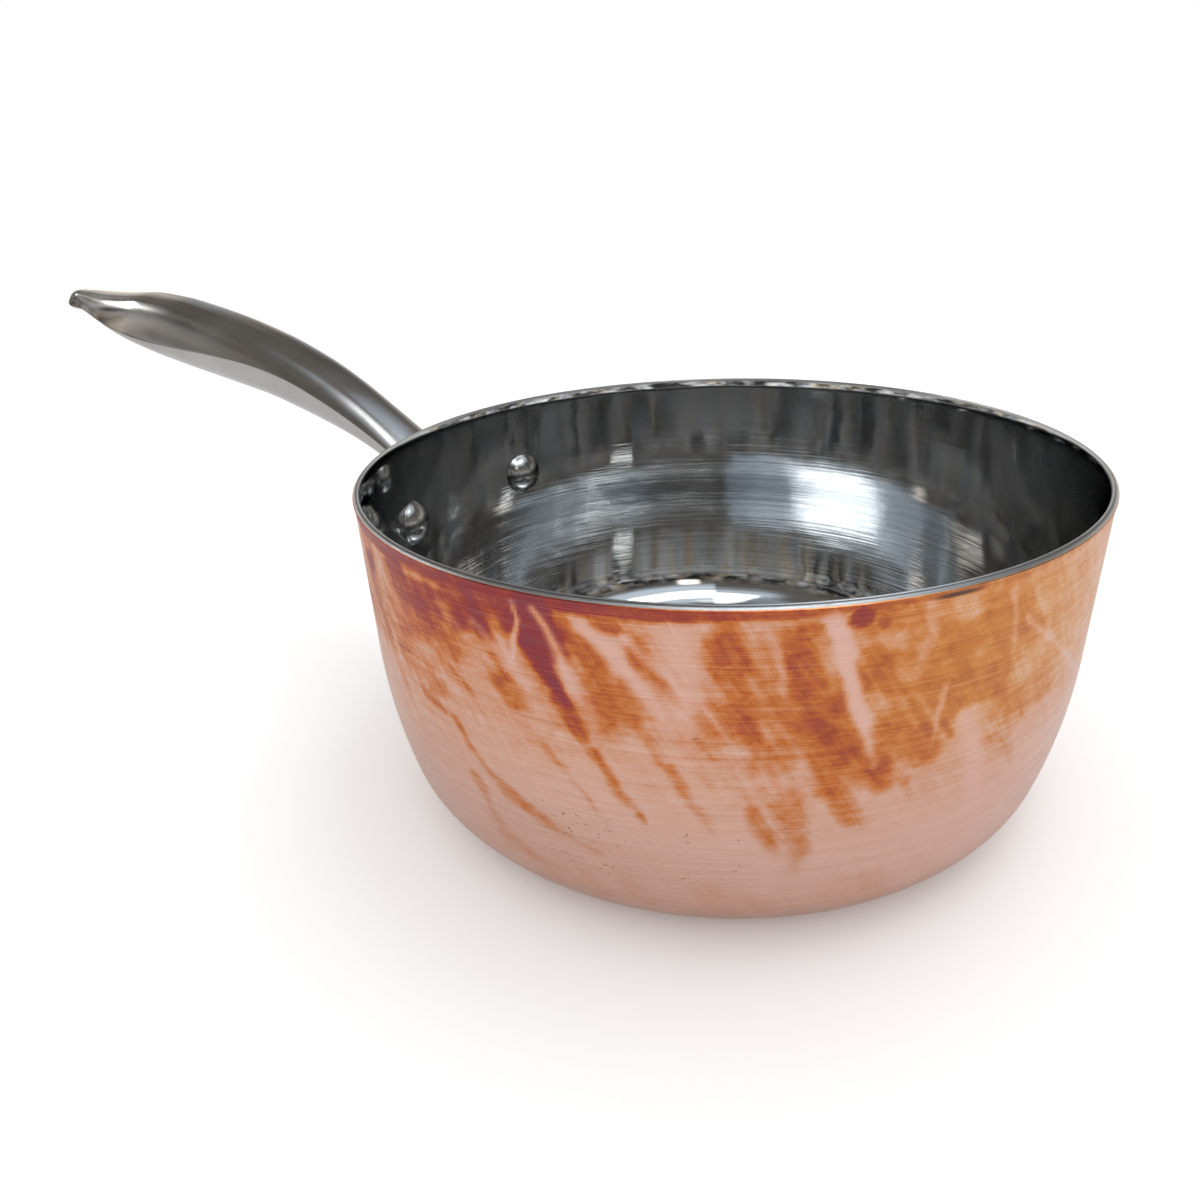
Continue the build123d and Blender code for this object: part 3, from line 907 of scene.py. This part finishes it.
def handle_material():
    n = Nodes("satin_cast_steel")
    coord = n.add("TexCoord").outputs["Object"]
    along_grip = n.add("Mapping", {"Vector": coord, "Scale": (0.08, 1.0, 1.0)}).outputs[0]
    grind = n.noise(along_grip, 1300.0, 4.0, 0.65)
    cast = n.noise(coord, 75.0, 4.0, 0.5, 0.3)
    pits = n.noise(coord, 1500.0, 3.0, 0.7)
    handled = n.noise(coord, 26.0, 5.0, 0.55, 0.5)
    base = n.ramp(handled, [(0.3, (0.44, 0.42, 0.405)), (0.7, (0.54, 0.525, 0.515))])
    base = n.mix(n.span(grind, 0.55, 0.75, 0.0, 0.22), base, (0.32, 0.30, 0.29, 1))
    base = n.mix(n.span(pits, 0.66, 0.78, 0.0, 0.30), base, (0.25, 0.24, 0.23, 1))
    rough = n.span(handled, 0.3, 0.7, 0.13, 0.21)
    rough = n.math("ADD", rough, n.math("MULTIPLY", grind, 0.06))
    reach = n.add("SeparateXYZ", {0: coord}).outputs[0]
    rough = n.math("SUBTRACT", rough, n.span(reach, 0.215, 0.250, 0.0, 0.075))   # the tip is polished by the hand
    base = n.mix(n.span(reach, 0.266, 0.284, 0.0, 0.72), base, (0.13, 0.12, 0.11, 1))      # and the end's base colour is darkened: painted shade standing in for the dark surroundings the knob mirrors
    normal = n.bump(grind, 0.4, 0.000005)
    normal = n.bump(pits, 0.3, 0.000006, normal)
    normal = n.bump(cast, 0.3, 0.00007, normal)
    return n.set(Base_Color=base, Metallic=1.0, Roughness=rough, Normal=normal)


def rivet_material():
    n = Nodes("polished_rivet_steel")
    coord = n.add("TexCoord").outputs["Object"]
    turn = n.noise(coord, 520.0, 4.0, 0.6)
    nick = n.noise(coord, 1700.0, 2.0, 0.6)
    base = n.ramp(turn, [(0.3, (0.40, 0.40, 0.39)), (0.7, (0.54, 0.54, 0.53))])
    rough = n.span(turn, 0.3, 0.7, 0.13, 0.22)
    normal = n.bump(turn, 0.4, 0.00002)
    normal = n.bump(nick, 0.3, 0.000006, normal)
    return n.set(Base_Color=base, Metallic=1.0, Roughness=rough, Normal=normal)


rivet_mat = rivet_material()
for o, node_name, s, m in (
        (copper, "copper_shell", "copper", copper_material()),
        (core, "aluminium_core", "core_aluminium", core_material()),
        (lining, "steel_lining", "lining_steel", lining_material()),
        (grip, "handle", "handle_steel", handle_material()),
        (rivet_l, "rivet_left", "rivet_steel", rivet_mat),
        (rivet_r, "rivet_right", "rivet_steel", rivet_mat)):
    o.data.materials.append(m)
    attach(o, "root")
    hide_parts(node_name)

# =====================================================================  stage and light
me = bpy.data.meshes.new("floor")
me.from_pydata([(-9, -9, 0), (9, -9, 0), (9, 9, 0), (-9, 9, 0)], [], [(0, 1, 2, 3)])
floor = bpy.data.objects.new("floor", me)
bpy.context.scene.collection.objects.link(floor)
fn = Nodes("studio_floor_paint")
white = fn.add("BsdfDiffuse", {"Color": (0.92, 0.92, 0.92, 1)})
pale = fn.add("BsdfDiffuse", {"Color": (0.62, 0.62, 0.615, 1)})
is_glossy = fn.add("LightPath").outputs["Is Glossy Ray"]
floor_mix = fn.add("MixShader", {0: is_glossy, 1: white.outputs[0], 2: pale.outputs[0]})
fn.tree.links.new(floor_mix.outputs[0], fn.tree.nodes["Material Output"].inputs["Surface"])
floor.data.materials.append(fn.mat)

# studio surround: white, with a dim ceiling for what the polished metal mirrors
w = bpy.data.worlds.new("studio")
bpy.context.scene.world = w
w.use_nodes = True
wt = w.node_tree
wt.nodes.clear()


def wn(kind, ins=None, **props):
    n = wt.nodes.new("ShaderNode" + kind)
    for k, v in props.items():
        setattr(n, k, v)
    for k, v in (ins or {}).items():
        if isinstance(v, bpy.types.NodeSocket):
            wt.links.new(v, n.inputs[k])
        else:
            n.inputs[k].default_value = v
    return n


def wmath(op, a, b=None, c=None, clamp=False):
    n = wn("Math", operation=op, use_clamp=clamp)
    for i, v in enumerate((a, b, c)):
        if isinstance(v, bpy.types.NodeSocket):
            wt.links.new(v, n.inputs[i])
        elif v is not None:
            n.inputs[i].default_value = v
    return n.outputs[0]


def wmix(f, a, b):
    n = wn("Mix", data_type="RGBA")
    for i, v in ((0, f), (6, a), (7, b)):
        if isinstance(v, bpy.types.NodeSocket):
            wt.links.new(v, n.inputs[i])
        else:
            n.inputs[i].default_value = v
    return n.outputs[2]


sky_dir = wn("TexCoord").outputs["Generated"]
turned = wn("VectorRotate", {"Vector": sky_dir, "Angle": HANDLE_AZ}, rotation_type="Z_AXIS").outputs[0]
xyz = wn("SeparateXYZ", {0: turned})
round_deg = wmath("MULTIPLY", wmath("ARCTAN2", xyz.outputs[0], xyz.outputs[1]), 180 / math.pi)
high_deg = wmath("MULTIPLY", wmath("ARCSINE", xyz.outputs[2]), 180 / math.pi)


def panel(az0, az1, el0, el1, edge):
    """A soft-edged panel of the studio, 1 inside; azimuth 0 is behind the pan and 90 to its right."""
    f = None
    for v, lo, hi in ((round_deg, az0, az1), (high_deg, el0, el1)):
        rise = wn("MapRange", {"Value": v, "From Min": lo - edge, "From Max": lo + edge}, interpolation_type="SMOOTHSTEP").outputs[0]
        fall = wn("MapRange", {"Value": v, "From Min": hi - edge, "From Max": hi + edge, "To Min": 1.0, "To Max": 0.0}, interpolation_type="SMOOTHSTEP").outputs[0]
        for t in (rise, fall):
            f = t if f is None else wmath("MULTIPLY", f, t)
    return f


ceiling = wn("ValToRGB", {"Fac": wmath("DIVIDE", high_deg, 90.0, clamp=True)})
stops = [(0.0, (0.72, 0.74, 0.76)), (0.09, (0.56, 0.57, 0.585)), (0.16, (0.44, 0.445, 0.45)),
         (0.23, (0.32, 0.325, 0.33)), (0.31, (0.18, 0.18, 0.18)), (0.42, (0.150, 0.138, 0.125)), (1.0, (0.175, 0.16, 0.145))]
while len(ceiling.color_ramp.elements) < len(stops):
    ceiling.color_ramp.elements.new(0.5)
for e, (p, col) in zip(ceiling.color_ramp.elements, stops):
    e.position = p
for e, (p, col) in zip(ceiling.color_ramp.elements, stops):
    e.color = (*col, 1)
flat_dir = wn("CombineXYZ", {0: xyz.outputs[0], 1: xyz.outputs[1], 2: wmath("MULTIPLY", xyz.outputs[2], 0.35)}).outputs[0]
strip = wn("TexNoise", {"Vector": flat_dir, "Scale": 8.0, "Detail": 6.0, "Roughness": 0.7}).outputs["Fac"]
strip_f = wn("MapRange", {"Value": strip, "From Min": 0.43, "From Max": 0.66, "To Min": 0.08, "To Max": 2.8}).outputs[0]
warm = wn("TexNoise", {"Vector": flat_dir, "Scale": 11.0, "Detail": 2.0}).outputs["Fac"]
tint = wmix(wn("MapRange", {"Value": warm, "From Min": 0.48, "From Max": 0.62}).outputs[0], (1, 1, 1, 1), (1.0, 0.82, 0.60, 1))
back = panel(-62, 62, -20, 29, 9.0)
mild = wn("MapRange", {"Value": strip, "From Min": 0.40, "From Max": 0.62, "To Min": 1.0, "To Max": 1.75}).outputs[0]
strip_f = wmath("ADD", wmath("MULTIPLY", strip_f, wmath("SUBTRACT", 1.0, back)), wmath("MULTIPLY", mild, back))
low_f = wn("MapRange", {"Value": high_deg, "From Min": 30.0, "From Max": 46.0, "To Min": 1.0, "To Max": 0.0}).outputs[0]
strip_f = wmath("ADD", wmath("MULTIPLY", strip_f, low_f), wmath("SUBTRACT", 1.0, low_f))
tint = wmix(low_f, (1, 1, 1, 1), tint)
room = wn("Mix", {0: 1.0, 6: ceiling.outputs[0], 7: tint}, data_type="RGBA", blend_type="MULTIPLY").outputs[2]
scaled = wn("VectorMath", {0: room}, operation="SCALE")
wt.links.new(strip_f, scaled.inputs["Scale"])
glow = scaled.outputs[0]
for f, col in ((panel(14, 185, 47, 84, 3.0), (0.62, 0.72, 0.82, 1)),
               (panel(112, 210, 48, 82, 8.0), (0.80, 0.90, 1.00, 1)),
               (panel(-210, -140, 56, 84, 8.0), (0.80, 0.90, 1.00, 1)),
               (panel(84, 200, 60, 73.5, 2.2), (4.3, 4.5, 4.6, 1)),
               (panel(40, 88, 60, 70, 3.5), (1.5, 1.6, 1.7, 1)),
               (panel(-200, -148, 65, 78, 3.0), (4.0, 4.2, 4.3, 1)),
               (panel(-148, -80, 66, 80, 5.0), (0.34, 0.38, 0.42, 1)),
               (panel(150, 200, 79, 85, 2.0), (1.2, 1.3, 1.35, 1)),
               (panel(-200, -140, 79, 87, 2.0), (2.0, 2.1, 2.15, 1)),
               (panel(163.5, 172.5, 35, 44, 2.0), (3.2, 2.9, 2.6, 1)),
               (panel(-79.5, -65, 25.5, 32.5, 1.0), (7.0, 7.2, 7.0, 1))):
    glow = wmix(f, glow, col)
mirrored = wn("Background", {"Color": glow, "Strength": 1.0})
lit = wn("Background", {"Color": (1.0, 1.0, 1.0, 1.0), "Strength": 1.13})
seen = wn("Background", {"Color": (1.0, 1.0, 1.0, 1.0), "Strength": 1.0})
path = wn("LightPath")
first_mix = wn("MixShader", {0: path.outputs["Is Glossy Ray"], 1: lit.outputs[0], 2: mirrored.outputs[0]})
second_mix = wn("MixShader", {0: path.outputs["Is Camera Ray"], 1: first_mix.outputs[0], 2: seen.outputs[0]})
wn("OutputWorld", {0: second_mix.outputs[0]})


def softbox(name, az, el, dist, width, tall, power, color=(1, 1, 1), spread=180.0):
    """A panel light at azimuth az (0 straight behind the pan from the camera, 90 to its right) and elevation el."""
    a, e = math.radians(az), math.radians(el)
    pos = Vector((math.sin(a) * math.cos(e), math.cos(a) * math.cos(e), math.sin(e))) * dist
    ld = bpy.data.lights.new(name, "AREA")
    ld.shape = "RECTANGLE"
    ld.size, ld.size_y = width, tall
    ld.energy = power
    ld.color = color
    ld.spread = math.radians(spread)
    ob = bpy.data.objects.new(name, ld)
    bpy.context.scene.collection.objects.link(ob)
    pos = VIEW_TURN @ pos
    target = Vector((0, 0, 0.04))
    look = (target - pos).to_track_quat("-Z", "Y").to_matrix().to_4x4()
    ob.matrix_world = Matrix.Translation(pos) @ look
    return ob


overhead = softbox("overhead", 60, 66, 2.0, 1.4, 1.4, 7.0)
overhead.visible_glossy = False
front = softbox("front_fill", 185, 40, 2.2, 1.6, 0.8, 5.0)
front.visible_glossy = False

# light bounces many times between the mirror-bright walls
bpy.context.scene.cycles.max_bounces = 20
bpy.context.scene.cycles.glossy_bounces = 16
bpy.context.scene.view_settings.view_transform = "Standard"
bpy.context.scene.view_settings.look = "None"
